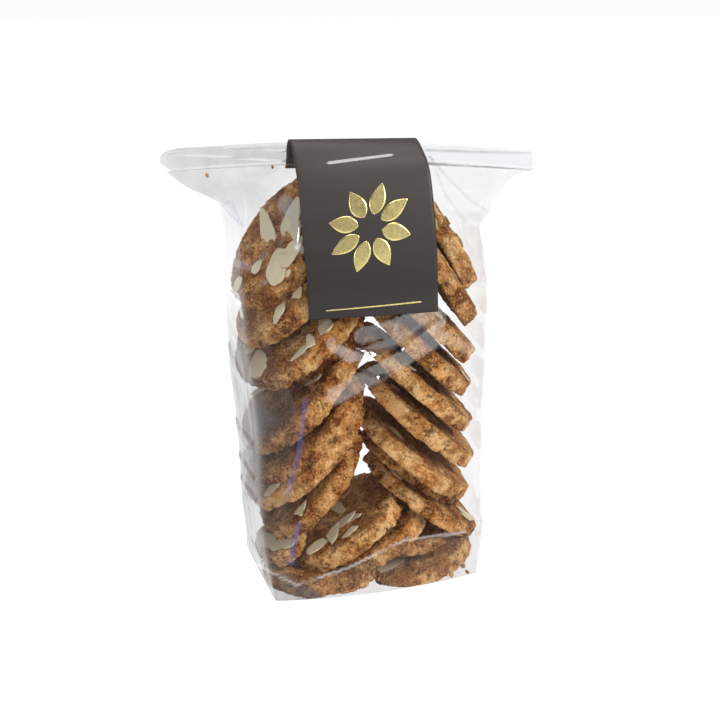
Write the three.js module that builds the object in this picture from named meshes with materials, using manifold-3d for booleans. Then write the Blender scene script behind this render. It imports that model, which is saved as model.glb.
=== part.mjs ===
// A pack of almond butter biscuits: a clear block-bottomed bag, filled with two leaning stacks of round
// biscuits, its mouth folded shut into a wide flat fin, and a card label folded over that fin.
// Millimetres, +Z up. The origin is at the middle of the base, +X runs to the right along the front face
// and -Y points out of the front face. The filled bag is one solid, out to its film.
import * as THREE from "three";
import { mergeVertices } from "three/addons/utils/BufferGeometryUtils.js";
import Module from "manifold-3d";

// Driving dimensions of the bag. Where a size changes on the way up, it is a list of [height, size].
const LEFT_CORNER = [[0, 52.3], [8, 53], [25, 54.6], [45, 55.6], [78, 56.4], [110, 58.8], [147, 60.4], [178, 61.9], [207, 68]];
const RIGHT_CORNER = [[0, 53.2], [10, 54.8], [27, 56], [47, 54.6], [82, 53.8], [117, 54.4], [166, 54.4], [177, 53.8], [190, 57], [207, 62]];
const FRONT_LEFT_DEPTH = [[0, 34.2], [100, 33.8], [120, 33], [140, 30.8], [157, 27], [170, 23], [186, 17], [195, 12], [202, 6.5], [207, 1.2]];
const OTHER_DEPTH = [[0, 34.2], [100, 33.8], [148, 33.6], [155, 32.8], [168, 30], [184, 25], [193, 20], [202, 9.5], [207, 1.2]];
const PANEL_BOW = [[0, 6.2], [20, 5], [110, 4], [140, 0.8], [165, 0.3], [207, 0]]; // middle of the front and back
const LEFT_BOW = [[0, 0.3], [25, 1.5], [60, 2], [150, 2.2], [180, 1], [190, 0], [207, 0]]; // middle of the left side
const RIGHT_BOW = [[0, 0.5], [12, 5.5], [25, 7], [60, 7.5], [150, 7], [172, 1.5], [182, 0], [207, 0]]; // of the right side
const LEFT_WING = [[170, 50], [181, 61], [190.4, 67.7], [193.8, 72.8], [199.2, 82.5], [205, 89.8], [207, 91.5]];
const RIGHT_WING = [[175, 50], [178, 58], [180.5, 69.4], [183, 71], [196.6, 76.6], [202.4, 80.8], [205.5, 87], [207, 91]];
const MOUTH_HEIGHT = 207; // where front and back meet, inside the fin
const CORNER_RADIUS = [[0, 1.2], [20, 9], [150, 9], [190, 3], [207, 2]];
const WING_RADIUS = [[0, 14], [168, 14], [178, 1.5], [207, 0.6]];

// The fin: the bag's mouth folded over on itself and pressed flat.
const FIN_LENGTH = 188;
const FIN_HALF_HEIGHT = 5.2;
const FIN_MIDDLE_HALF_DEPTH = 2.4;
const FIN_TIP_HALF_DEPTH = 1.2;
const FIN_CENTRE_HEIGHT = 212;
const FIN_END_ROUNDING = 4;
const FIN_CROWN_X = -25; // the fin is highest here and droops towards both tips
const DROOP = { left: 1.5, right: 8 };
const DROOP_START = 168;

// The label: a card strip bent over the fin. Each edge is a list of [y, z] on the card's inner face, from
// the end of the short flap behind the fin to the end of the long flap on the front.
const LABEL_LEFT_X = -33.8;
const LABEL_RIGHT_X = 28.7;
const LABEL_LEFT_EDGE = [[7.6, 204], [5.1, 208.6], [3.4, 215.2], [0.2, 218], [-4.3, 216], [-10.4, 208.2], [-15.4, 200.5], [-21.2, 186], [-26, 170.5], [-29.8, 157.2], [-33.4, 139.5]];
const LABEL_RIGHT_EDGE = [[8, 202.8], [5.3, 207.4], [3.4, 213.9], [0.2, 216.8], [-4.6, 216.1], [-10.6, 212.9], [-17.6, 208.2], [-22.3, 202.2], [-28.7, 184.3], [-32.7, 167], [-35.4, 139.5]];
const LABEL_THICKNESS = 0.45;
const LABEL_BOW = 0.9; // how far the middle of the front flap stands out past its edges

// The biscuits inside, which press the film out where their rims meet it: [x, z, lean] of each middle.
const BISCUIT_RADIUS = 35.5;
const BISCUIT_THICKNESS = 10.5;
const BISCUITS = [
  [-9, 24, 32], [-23, 38, 44], [-25, 54, 40], [-25, 72, 40], [-25, 90, 42], [-26, 108, 44], [-26, 126, 46], [-28, 144, 46],
  [23, 8, 5], [34, 35, -39], [31, 60, -44], [33, 78, -44], [32, 96, -44], [32, 116, -47], [34, 131, -46], [36, 152, -57],
];
const FILM_CLEARANCE = 1.5; // the film stands at least this far off a rim, as far as MOST_PUSH allows
const MOST_PUSH = 0.9;

// How finely the surfaces are divided.
const CORNER_STEPS = 3;
const FACE_STEPS = [5, 20, 5, 5, 20, 5]; // along each straight stretch between the section's corners
const LOWER_ROWS = 26;
const UPPER_ROWS = 20;
const UPPER_START = 165;
const FIN_ROWS = 30;
const FIN_SIDES = 14;
const LABEL_ROWS = 48;
const LABEL_COLUMNS = 6;

const clamp01 = (t) => Math.min(1, Math.max(0, t));
const mix = (a, b, t) => a + (b - a) * t;
const smooth = (from, to, value) => {
  const t = clamp01((value - from) / (to - from));
  return t * t * (3 - 2 * t);
};

// The size at a height, from a list of [height, size]: cubic Hermite, never past the sizes on either side.
function sizeAt(list, z) {
  if (z <= list[0][0]) return list[0][1];
  const last = list.length - 1;
  if (z >= list[last][0]) return list[last][1];
  const slope = (k) => (list[k + 1][1] - list[k][1]) / (list[k + 1][0] - list[k][0]);
  const tangent = (k) => {
    if (k === 0) return slope(0);
    if (k === last) return slope(last - 1);
    const [p, q] = [slope(k - 1), slope(k)];
    return p * q <= 0 ? 0 : (2 * p * q) / (p + q);
  };
  const k = list.findIndex(([height]) => height > z) - 1;
  const span = list[k + 1][0] - list[k][0];
  const t = (z - list[k][0]) / span;
  const [t2, t3] = [t * t, t * t * t];
  return (
    (2 * t3 - 3 * t2 + 1) * list[k][1] +
    (t3 - 2 * t2 + t) * span * tangent(k) +
    (3 * t2 - 2 * t3) * list[k + 1][1] +
    (t3 - t2) * span * tangent(k + 1)
  );
}

// The fin and all that hangs from it droop towards the tips, as a square of the distance from the crown.
function droop(x, z) {
  const left = x < FIN_CROWN_X;
  const reach = FIN_LENGTH / 2 + (left ? FIN_CROWN_X : -FIN_CROWN_X);
  const share = (x - FIN_CROWN_X) / reach;
  return -(left ? DROOP.left : DROOP.right) * share * share * smooth(DROOP_START, MOUTH_HEIGHT, z);
}

// A push outwards where a biscuit's rim comes near the film. A biscuit is a thick disc, and the push is
// what is missing of the clearance between the point and that disc.
function biscuitPush(point) {
  let push = 0;
  for (const [x, z, lean] of BISCUITS) {
    const angle = THREE.MathUtils.degToRad(lean);
    const dx = point.x - x;
    const dz = point.z - z;
    const across = Math.abs(dz * Math.cos(angle) - dx * Math.sin(angle)) - BISCUIT_THICKNESS / 2;
    const radial = Math.hypot(dx * Math.cos(angle) + dz * Math.sin(angle), point.y) - BISCUIT_RADIUS;
    const distance = Math.hypot(Math.max(across, 0), Math.max(radial, 0)) + Math.min(Math.max(across, radial), 0);
    push = Math.max(push, FILM_CLEARANCE - distance);
  }
  const most = MOST_PUSH * mix(1, 0.3, smooth(122, 136, point.z));
  return Math.min(push, most) * smooth(2, 14, point.z) * (1 - smooth(166, 180, point.z));
}

// The bag's section at a height, which has wings wherever a wing reaches past its corner: six corners, each rounded by a quadratic curve, with bowed panels between
// them, as a ring of points that starts at the left wing and runs along the front.
function section(z) {
  const left = sizeAt(LEFT_CORNER, z);
  const right = sizeAt(RIGHT_CORNER, z);
  const front = sizeAt(FRONT_LEFT_DEPTH, z);
  const depth = sizeAt(OTHER_DEPTH, z);
  const leftWing = Math.max(left, sizeAt(LEFT_WING, z));
  const rightWing = Math.max(right, sizeAt(RIGHT_WING, z));
  const corner = sizeAt(CORNER_RADIUS, z);
  const wing = sizeAt(WING_RADIUS, z);
  const corners = [
    [-leftWing, 0, wing],
    [-left, -front, corner],
    [right, -depth, corner],
    [rightWing, 0, wing],
    [right, depth, corner],
    [-left, depth, corner],
  ].map(([x, y, radius]) => ({ at: new THREE.Vector2(x, y), radius }));
  const count = corners.length;
  const towards = (i, j) => {
    const from = corners[i].at;
    const length = from.distanceTo(corners[j].at);
    return from.clone().lerp(corners[j].at, Math.min(corners[i].radius, 0.42 * length) / length);
  };
  const ring = [];
  for (let i = 0; i < count; i++) {
    const next = (i + 1) % count;
    const start = towards(i, next);
    const end = towards(next, i);
    const rounding = new THREE.QuadraticBezierCurve(towards(i, (i + count - 1) % count), corners[i].at, start);
    ring.push(...rounding.getPoints(CORNER_STEPS));
    for (let k = 1; k < FACE_STEPS[i]; k++) ring.push(start.clone().lerp(end, k / FACE_STEPS[i]));
  }
  const panelBow = sizeAt(PANEL_BOW, z);
  const leftBow = sizeAt(LEFT_BOW, z);
  const rightBow = sizeAt(RIGHT_BOW, z);
  return ring.map(({ x, y }) => {
    const half = x < 0 ? left : right;
    const reach = y < 0 && x < 0 ? front : depth;
    const acrossPanel = Math.max(0, 1 - (x / half) ** 2);
    const acrossSide = Math.max(0, 1 - (y / reach) ** 2) * smooth(0.6, 1, Math.abs(x) / half);
    return new THREE.Vector2(
      x + (x < 0 ? -leftBow : rightBow) * acrossSide,
      y + Math.sign(y) * panelBow * acrossPanel * smooth(0.5, 1, Math.abs(y) / reach),
    );
  });
}

// Closes a stack of rings of equal length into one solid's geometry. The rings run anticlockwise seen
// against the way the stack grows, and each end is closed by a strip between its ring's two halves.
function closedStack(rings) {
  const sides = rings[0].length;
  const index = [];
  const quad = (a, b, c, d) => index.push(a, b, c, a, c, d);
  for (let row = 0; row + 1 < rings.length; row++)
    for (let i = 0; i < sides; i++) {
      const [a, b] = [row * sides + i, row * sides + ((i + 1) % sides)];
      quad(a, b, b + sides, a + sides);
    }
  for (let i = 0; i + 1 < sides / 2; i++) {
    const [a, b, c, d] = [i, i + 1, sides - 2 - i, sides - 1 - i];
    const last = (rings.length - 1) * sides;
    quad(d, c, b, a);
    quad(last + a, last + b, last + c, last + d);
  }
  const geometry = new THREE.BufferGeometry();
  const positions = rings.flat().flatMap((p) => [p.x, p.y, p.z]);
  geometry.setAttribute("position", new THREE.Float32BufferAttribute(positions, 3));
  geometry.setIndex(index);
  return geometry;
}

// The filled body and its shoulders, from the flat base to just inside the fin.
function bodyGeometry() {
  const rows = [];
  for (let k = 0; k < LOWER_ROWS; k++) rows.push((UPPER_START * k) / LOWER_ROWS);
  for (let k = 0; k <= UPPER_ROWS; k++) rows.push(mix(UPPER_START, MOUTH_HEIGHT, k / UPPER_ROWS));
  return closedStack(
    rows.map((z) =>
      section(z).map(({ x, y }) => {
        const out = new THREE.Vector2(x / 55, y / 34).normalize();
        const push = biscuitPush(new THREE.Vector3(x, y, z));
        return new THREE.Vector3(x + out.x * push, y + out.y * push, z + droop(x, z));
      }),
    ),
  );
}

// The fin: an upright flattened roll along X, thickest in the middle, with rounded ends.
function finGeometry() {
  const rings = [];
  for (let row = 0; row <= FIN_ROWS; row++) {
    const x = (FIN_LENGTH / 2) * Math.sin(Math.PI * (row / FIN_ROWS - 0.5)); // rows crowd towards the ends
    const inset = 1 - clamp01((FIN_LENGTH / 2 - Math.abs(x)) / FIN_END_ROUNDING);
    const end = mix(0.5, 1, Math.sqrt(1 - inset * inset));
    const halfDepth = mix(FIN_MIDDLE_HALF_DEPTH, FIN_TIP_HALF_DEPTH, (x / (FIN_LENGTH / 2)) ** 2);
    const ring = [];
    for (let i = 0; i < FIN_SIDES; i++) {
      const angle = (2 * Math.PI * (i + 0.5)) / FIN_SIDES;
      const z = FIN_CENTRE_HEIGHT + FIN_HALF_HEIGHT * end * Math.sin(angle);
      ring.push(new THREE.Vector3(x, halfDepth * end * Math.cos(angle), z + droop(x, MOUTH_HEIGHT)));
    }
    rings.push(ring);
  }
  return closedStack(rings);
}

// The label: a strip of card between its two bent edges, a little bowed on the front flap.
function labelGeometry() {
  const edge = (list) => new THREE.CatmullRomCurve3(list.map(([y, z]) => new THREE.Vector3(0, y, z)), false, "centripetal");
  const [left, right] = [edge(LABEL_LEFT_EDGE), edge(LABEL_RIGHT_EDGE)];
  const inner = (across, along) => {
    const p = left.getPoint(along).lerp(right.getPoint(along), across);
    p.x = mix(LABEL_LEFT_X, LABEL_RIGHT_X, across);
    p.y -= LABEL_BOW * 4 * across * (1 - across) * smooth(0.4, 0.75, along);
    return p;
  };
  const outer = (across, along) => {
    const step = 0.004;
    const way = inner(across, Math.min(1, along + step)).sub(inner(across, Math.max(0, along - step)));
    const normal = way.cross(new THREE.Vector3(1, 0, 0)).normalize();
    return inner(across, along).addScaledVector(normal, LABEL_THICKNESS);
  };
  const rings = [];
  for (let row = 0; row <= LABEL_ROWS; row++) {
    const along = row / LABEL_ROWS;
    const ring = [];
    for (let k = 0; k <= LABEL_COLUMNS; k++) ring.push(inner(k / LABEL_COLUMNS, along));
    for (let k = LABEL_COLUMNS; k >= 0; k--) ring.push(outer(k / LABEL_COLUMNS, along));
    rings.push(ring);
  }
  return closedStack(rings);
}

const wasm = await Module();
wasm.setup();

// A geometry as a solid that can be joined to others.
function solid(geometry) {
  const merged = mergeVertices(geometry, 1e-4);
  return new wasm.Manifold(
    new wasm.Mesh({
      numProp: 3,
      vertProperties: merged.attributes.position.array,
      triVerts: new Uint32Array(merged.index.array),
    }),
  );
}

// A joined solid as a geometry again.
function geometryOf(joined) {
  const { vertProperties, triVerts } = joined.getMesh();
  const geometry = new THREE.BufferGeometry();
  geometry.setAttribute("position", new THREE.BufferAttribute(vertProperties, 3));
  geometry.setIndex(new THREE.BufferAttribute(triVerts, 1));
  geometry.computeVertexNormals();
  return geometry;
}

function named(name, geometry, colour, roughness) {
  const mesh = new THREE.Mesh(geometry, new THREE.MeshStandardMaterial({ color: colour, roughness, metalness: 0 }));
  mesh.name = name;
  return mesh;
}

const bag = solid(bodyGeometry()).add(solid(finGeometry()));
const pack = new THREE.Group();
pack.name = "almond_biscuit_pack";
pack.add(named("bag", geometryOf(bag), 0xb07a45, 0.3));
pack.add(named("label", labelGeometry(), 0x4a4442, 0.55));

export default pack;
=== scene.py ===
"""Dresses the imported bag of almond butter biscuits: its clear film, the biscuits, almond flakes and crumbs
inside, and the foiled card label.

Lengths are millimetres in the part's own frame: +X runs to the right along the front, -Y points out of the
front face and +Z is up, from the middle of the base.
"""

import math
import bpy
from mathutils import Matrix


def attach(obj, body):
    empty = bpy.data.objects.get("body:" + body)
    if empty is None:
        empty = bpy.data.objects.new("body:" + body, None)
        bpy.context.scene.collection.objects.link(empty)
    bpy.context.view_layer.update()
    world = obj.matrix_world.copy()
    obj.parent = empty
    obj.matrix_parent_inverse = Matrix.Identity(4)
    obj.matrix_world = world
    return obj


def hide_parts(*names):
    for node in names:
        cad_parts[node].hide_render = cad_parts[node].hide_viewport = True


bl_info = {
    "name": "Almond biscuit pack",
    "version": (1, 0, 0),
    "blender": (4, 5, 0),
    "location": "View3D > Sidebar > Biscuit pack",
    "description": "Builds the film, biscuits, almond flakes, crumbs and label of a bag of almond biscuits",
    "category": "Add Mesh",
}

from collections import namedtuple

import bpy
import numpy as np

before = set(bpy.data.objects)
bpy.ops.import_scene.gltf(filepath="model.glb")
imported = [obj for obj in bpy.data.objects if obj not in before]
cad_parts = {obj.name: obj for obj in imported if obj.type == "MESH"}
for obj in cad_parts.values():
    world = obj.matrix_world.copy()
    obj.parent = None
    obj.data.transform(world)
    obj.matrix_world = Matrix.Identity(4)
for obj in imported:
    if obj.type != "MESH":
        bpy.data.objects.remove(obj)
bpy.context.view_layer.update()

MM = 0.001
TURN = 2 * math.pi

# The bag, as in the part's source: where a size changes on the way up, it is a list of (height, size).
LEFT_CORNER = [
    (0, 52.3), (8, 53), (25, 54.6), (45, 55.6), (78, 56.4), (110, 58.8), (147, 60.4), (178, 61.9),
    (207, 68),
]
RIGHT_CORNER = [
    (0, 53.2), (10, 54.8), (27, 56), (47, 54.6), (82, 53.8), (117, 54.4), (166, 54.4), (177, 53.8),
    (190, 57), (207, 62),
]
FRONT_LEFT_DEPTH = [
    (0, 34.2), (100, 33.8), (120, 33), (140, 30.8), (157, 27), (170, 23), (186, 17), (195, 12),
    (202, 6.5), (207, 1.2),
]
OTHER_DEPTH = [
    (0, 34.2), (100, 33.8), (148, 33.6), (155, 32.8), (168, 30), (184, 25), (193, 20), (202, 9.5),
    (207, 1.2),
]
PANEL_BOW = [(0, 6.2), (20, 5), (110, 4), (140, 0.8), (165, 0.3), (207, 0)]
LEFT_BOW = [(0, 0.3), (25, 1.5), (60, 2), (150, 2.2), (180, 1), (190, 0), (207, 0)]
RIGHT_BOW = [(0, 0.5), (12, 5.5), (25, 7), (60, 7.5), (150, 7), (172, 1.5), (182, 0), (207, 0)]
LEFT_WING = [
    (170, 50), (181, 61), (190.4, 67.7), (193.8, 72.8), (199.2, 82.5), (205, 89.8), (207, 91.5),
]
RIGHT_WING = [
    (175, 50), (178, 58), (180.5, 69.4), (183, 71), (196.6, 76.6), (202.4, 80.8), (205.5, 87),
    (207, 91),
]
MOUTH_HEIGHT = 207
CORNER_RADIUS = [(0, 1.2), (20, 9), (150, 9), (190, 3), (207, 2)]
WING_RADIUS = [(0, 14), (168, 14), (178, 1.5), (207, 0.6)]
FIN_HALF_LENGTH = 94
FIN_HALF_HEIGHT = 5.2
FIN_MIDDLE_HALF_DEPTH = 2.4
FIN_TIP_HALF_DEPTH = 1.2
FIN_CENTRE_HEIGHT = 212
FIN_END_ROUNDING = 4
FIN_LOWER_CUT = 5
FIN_CROWN_X = -25
LEFT_DROOP = 1.5
RIGHT_DROOP = 8
DROOP_START = 168

# The label, as in the part's source: (y, z) down each edge of the card's inner face, from the back flap
# over the fin.
LABEL_LEFT_X = -33.8
LABEL_RIGHT_X = 28.7
LABEL_LEFT_EDGE = [
    (7.6, 204), (5.1, 208.6), (3.4, 215.2), (0.2, 218), (-4.3, 216), (-10.4, 208.2), (-15.4, 200.5),
    (-21.2, 186), (-26, 170.5), (-29.8, 157.2), (-33.4, 139.5),
]
LABEL_RIGHT_EDGE = [
    (8, 202.8), (5.3, 207.4), (3.4, 213.9), (0.2, 216.8), (-4.6, 216.1), (-10.6, 212.9), (-17.6, 208.2),
    (-22.3, 202.2), (-28.7, 184.3), (-32.7, 167), (-35.4, 139.5),
]
LABEL_THICKNESS = 0.45
LABEL_BOW = 0.9

# The biscuits. Lean (to the left) and tip (to the front) are degrees, and share is how deep a biscuit
# is against how wide. A break is a straight snapped edge: the direction it faces, seen on the top face,
# and its distance from the middle.
Biscuit = namedtuple("Biscuit", "x y z lean tip radius thickness share breaks", defaults=[()])
BISCUITS = {
    "left_0": Biscuit(-23, -10, 4.6, 2, 0, 30, 8.5, 1, [(20, 21), (75, 8)]),
    "left_1": Biscuit(3.5, -2, 19.3, 27, 3, 34, 9.5, 1, [(0, 26.5)]),
    "left_2": Biscuit(-8.9, -3.5, 24.5, 31.5, -1, 34.5, 9.5, 0.97, [(0, 29.5)]),
    "left_3": Biscuit(-43, -4, 17.5, 32, 4, 14, 8, 1.3, [(200, 12)]),
    "left_4": Biscuit(-26, 0, 50, 50.5, 3, 35.5, 9.3, 0.93),
    "left_5": Biscuit(-28.8, 0, 65.3, 42.5, 0, 38, 10, 0.88),
    "left_6": Biscuit(-28.6, 0.5, 78, 43, 2, 38.6, 9.8, 0.88),
    "left_7": Biscuit(-29.5, 0, 96, 44, 2, 38.5, 10.5, 0.88, [(300, 34)]),
    "left_back": Biscuit(-17, 4, 119.5, 45, 3, 26.5, 7, 0.9),
    "left_8": Biscuit(-30.5, 0, 129.5, 41, 14, 38.5, 10.3, 0.85),
    "left_9": Biscuit(-32, 0, 150.5, 46, 8, 38, 10, 0.79),
    "left_top": Biscuit(-37, 1, 170, 55, 20, 36.5, 10.5, 0.7),
    "right_1": Biscuit(23, -9, 4, 18, 3, 35, 9, 0.93, [(180, 24)]),
    "right_2": Biscuit(20, 1, 17, 3, 6, 33, 7, 0.93, [(0, 26), (150, 10)]),
    "right_3": Biscuit(34.5, 0, 33.5, -36, 5, 35, 7.6, 0.93, [(180, 34)]),
    "right_back": Biscuit(31, 7, 46, -38, 6, 33, 6, 0.8),
    "right_4": Biscuit(28.5, 0, 59.2, -40, 8, 38, 9.2, 0.89),
    "right_5": Biscuit(31.8, 0, 77.7, -41.5, 8, 38, 9, 0.89),
    "right_6": Biscuit(29.6, 0, 97.9, -42, 7, 39, 9.3, 0.88),
    "right_7": Biscuit(30.7, 0, 116.5, -43.5, 8, 38, 9, 0.88),
    "right_8": Biscuit(32.8, 0, 133.2, -44, 8, 37, 9, 0.87),
    "right_9": Biscuit(40.3, 0, 153.5, -56, 8, 34, 9.5, 0.84),
    "right_top": Biscuit(42.5, 1, 169.5, -58, 7, 32.3, 9.5, 0.74),
}

# The biscuits that are browned more than the others, by how much, and how much chance browns any of
# them.
BROWNED = ("left_4", "left_6", "left_7", "left_back", "left_8", "left_9", "left_top", "right_back")
BAKE_MORE = 0.4
BAKE_SPREAD = 0.7

# Almond flakes that show, by the biscuit they lie on: (pixel across, pixel down, length, width, turn).
# The pixels are where the flake's middle is seen in the photograph, 720 wide and high, and the flake is
# laid onto the biscuit's top along the line of sight, turned on it by that many degrees. Each biscuit
# gets a few more, which lie lower. All are bent and tilted by chance, by at most so many millimetres and
# degrees.
FLAKES = {
    "left_top": [
        (268, 227, 23, 12, 60), (291, 252, 19, 12, -10), (282, 271, 24, 13, 25), (258, 267, 8, 6, 0),
        (293, 216, 20, 11, 10),
    ],
    "left_9": [(273, 339, 13, 9, 15)],
    "left_8": [(338, 330, 14, 9, 85), (327, 370, 13, 7, 60), (252, 373, 20, 11, 60)],
    "left_6": [(246, 458, 12, 8, 80)],
    "left_5": [(272, 490, 20, 10, 35)],
    "left_2": [
        (341, 486, 18, 10, 60), (346, 521, 15, 9, 20), (333, 535, 16, 8, 40), (320, 545, 16, 8, 15),
        (338, 508, 14, 8, 95), (351, 532, 12, 8, -30),
    ],
    "right_3": [(437, 470, 8, 6, 20), (452, 502, 6, 5, 0)],
}
FLAKES_MORE = 3
FLAKE_THICKNESS = 0.9
FLAKE_COLUMNS = 36
FLAKE_BEND = 0.8
FLAKE_TILT = 8
FLAKE_LIFT, FLAKE_LIFT_MORE = 0.9, 0.25

# Crumbs: how many lie on the base, and (x, z, size) of those caught behind the front film.
CRUMBS = 140
CAUGHT_CRUMBS = [(-73, 203.5, 1.0), (-42, 206, 0.9)]

# A biscuit's grid, and its corners, dome and the slope of its rim as shares of its thickness.
BISCUIT_ROWS = 70
BISCUIT_COLUMNS = 230
TOP_CORNER = 0.22
LOW_CORNER = 0.12
RIM_SLOPE = 0.12
DOME = 0.05

# The sizes of what makes a biscuit's surface uneven.
SWELL, RIPPLE, KNOB, BIT, PIT, CRACK, CRACKED_PATCH = 13, 6, 4.2, 2.2, 3.4, 7.5, 16

# How far each kind of content stays inside the film.
BISCUIT_CLEARANCE, FLAKE_CLEARANCE, CRUMB_CLEARANCE = 0.35, 0.3, 1.4

# The film's grid: the rows of its foot, body and shoulders with the heights that part them, and the
# points round each corner and along each side.
FOOT_TOP = 6
SHOULDER_FOOT = 165
FOOT_ROWS, BODY_ROWS, SHOULDER_ROWS = 9, 150, 48
CORNER_POINTS = 7
SIDE_POINTS = [30, 146, 30, 22, 70, 22]

# How near a biscuit has to be to press the film out, and by how much at most.
PRESS_REACH = 1.6
PRESS_MOST = 0.9

# The fin's grid, its thinness, the size of the fold inside it, how much longer its left end's rounding
# is, how far its ends close, and how wide the valley along its middle is.
FIN_ROWS = 150
FIN_SIDES = 48
FIN_THINNESS = 0.55
INNER_FOLD = 0.72
FIN_LEFT_ROUNDING = 2.5
FIN_END_SHARE, FIN_LOWER_END_SHARE = 0.25, 0.2
FIN_VALLEY_WIDTH = 0.16

# Folds pressed into the film: (x, z, x, z, width, height) from one end to the other on the front, with
# a height below 0 for a valley.
FRONT_FOLDS = [
    (-43, 8.7, -20.9, 18.3, 2.2, -0.9), (-20.9, 18.3, 4.5, 24.1, 2.2, -0.9),
    (4.5, 24.1, 48.2, 24.7, 2.4, -0.8), (-36.9, 104, -39.7, 67.5, 2.2, 0.9),
    (-39.7, 67.5, -43.7, 29.3, 2.4, 1), (-43.7, 29.3, -43, 8.7, 2.4, 0.9),
    (36.3, 207, 41.3, 200, 1.8, 0.9), (41.3, 200, 46.1, 191.2, 2, 1),
    (46.1, 191.2, 53.4, 183.5, 2.2, 1), (39.2, 192, 50.9, 180.4, 2, -0.8),
    (45.4, 181, 43, 168, 2.4, 0.9), (67, 201, 59.4, 184.7, 2.4, 1), (36, 200, 59, 196, 2.2, -0.7),
    (40, 176, 54, 160, 2.5, 0.7), (-19.4, 126.8, -5.2, 119.8, 3, 1), (-5.2, 119.8, 9.7, 121.4, 3, 1),
    (9.7, 121.4, 30.4, 135, 3, 1), (-15, 118.7, -0.6, 111.8, 3, -0.9),
    (-0.6, 111.8, 19.6, 116.7, 3, -0.9), (19.6, 116.7, 38.1, 129.5, 3, -0.9),
    (-67.5, 193, -59, 193.5, 1.4, 0.8), (-59, 193.5, -60, 181, 1.4, 0.8),
    (-60, 181, -67.5, 193, 1.4, 0.8), (-31.8, 197, -37.3, 173, 2.4, 0.9),
    (-43, 205, -55, 176, 2.6, -0.7),
]

# Marks on the front film, as pixels (across, down) of the photograph: the right-hand edge of the hazy
# left side, the fold above the base, and (kind, broken line, width, softness, amount) of mirroring
# bands and lines that paint reflections and highlights (glare), milky streaks (veil), one of them a
# painted shade line, and bluish streaks that paint reflections (blue_reflection).
HAZE_EDGE = [
    (262, 300), (263, 327), (280, 373), (305, 418), (296, 445), (290, 480), (292, 525), (291, 565),
    (297, 585), (300, 620),
]
BASE_FOLD = [(240, 556), (257, 565), (297, 585), (350, 567), (405, 540), (465, 532), (490, 530)]
FILM_MARKS = [
    # Painted reflection bands of the lights below the label, where the film mirrors more.
    ("glare", [(362, 336), (392, 328), (440, 310)], 15, 1.2, 0.17),
    ("glare", [(332, 344), (350, 357), (368, 353), (402, 339), (440, 322)], 11, 1.2, 0.2),
    ("glare", [(335, 396), (362, 381), (392, 366), (418, 348), (440, 338)], 16, 1.2, 0.15),
    ("glare", [(425, 330), (450, 338), (472, 352)], 9, 1.5, 0.1),
    # Painted bluish reflections, as milk tinted blue: down the left edge and in a small triangle.
    ("blue_reflection", [(305, 400), (299, 452), (288, 494)], 3.2, 2, 0.4),
    ("blue_reflection", [(299, 524), (293, 545), (292, 563)], 3, 2, 0.45),
    ("blue_reflection", [(222, 206), (231, 201), (243, 227)], 1.2, 1, 0.3),
    ("blue_reflection", [(243, 227), (222, 206)], 1.2, 1, 0.28),
    # Painted highlights: a crescent, the glare on a fold, streaks, the fold above the base and the fin's
    # folds.
    ("glare", [(228, 285), (238, 296), (242, 317)], 1.6, 1.2, 0.4),
    ("glare", [(286, 203), (297, 215), (303, 246)], 13, 3, 0.42),
    ("glare", [(281, 206), (284, 236), (272, 262), (266, 284)], 1.5, 1.5, 0.22),
    ("glare", [(232, 262), (252, 268), (268, 252)], 5, 3, 0.14),
    ("glare", [(257, 565), (297, 585), (350, 567), (405, 540), (465, 532)], 1.2, 1, 0.3),
    ("glare", [(162, 150), (225, 148), (292, 151)], 1, 1, 0.35),
    ("glare", [(164, 153), (225, 157), (292, 162)], 1.2, 1.2, 0.3),
    ("veil", [(262, 566), (300, 594), (316, 597)], 9, 9, 0.45),
    ("veil", [(426, 150), (480, 152), (530, 153)], 1, 1.5, 0.2),
    # Painted shade along the lower edge of the right roll.
    ("veil", [(427, 162), (480, 166), (534, 170)], 1, 1.5, 0.25),
    ("veil", [(430, 157), (448, 178), (470, 200), (488, 212)], 1, 1.5, 0.25),
    ("veil", [(432, 160), (446, 196), (466, 222)], 1, 1.5, 0.22),
]

# Where the film is milkier than elsewhere: x from where it starts to where it is full, to the left and
# to the right, and heights for the header. The haze starts down the photograph, and thickens away from
# its edge, between these pixels.
FOLDED_LEFT = (-24, -48)
FOLDED_RIGHT = (20, 50)
HEADER = (165, 195)
HAZE_STARTS = (290, 325)
HAZE_THICKENS = (18, 50)

# The camera: its place, how far it looks down and to the right in degrees, and its lens in pixels of the
# photograph.
CAMERA_AT = (-170.9, -556.5, 277.0)
CAMERA_DIP = 16.166
CAMERA_TURN = 17.174
PHOTO_SIDE = 720
FOCAL_PIXELS = 1211.8
SENSOR_WIDTH = 36

# The stamping, as places (x, length up the card): a rosette of almond shapes, a rule below and a bar
# above.
ROSETTE_MIDDLE = (-2.6, 41)
ROSETTE_REACH = 13.2
PETALS = 8
PETAL_LENGTH = 14.5
PETAL_HALF_WIDTH = 3.9
RULE_MIDDLE, RULE_LENGTH, RULE_HALF_WIDTH = (-2.6, 4.6), 46, 0.28
BAR_MIDDLE, BAR_LENGTH, BAR_HALF_WIDTH = (-2.6, 75), 33, 0.85
STAMP_STEPS = 26

# The stage, in metres: (place, size) and power of each lamp, and where they all point.
LAMPS = {
    "key": ((1.05, -0.95, 1.1), (0.9, 0.9), 24),
    "side": ((-1.05, -0.55, 0.75), (0.3, 0.5), 3),
    "top": ((0.1, 0.1, 1.4), (0.9, 0.6), 6.5),
}
LAMPS_AIM = (0, 0, 0.11)
FLOOR_HALF_WIDTH = 40.0
FLOOR_LEVEL = -0.0002
SKY_FOOT, SKY_TOP = (0.97, 0.97, 0.98, 1), (0.3, 0.31, 0.33, 1)


# Numbers


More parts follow.
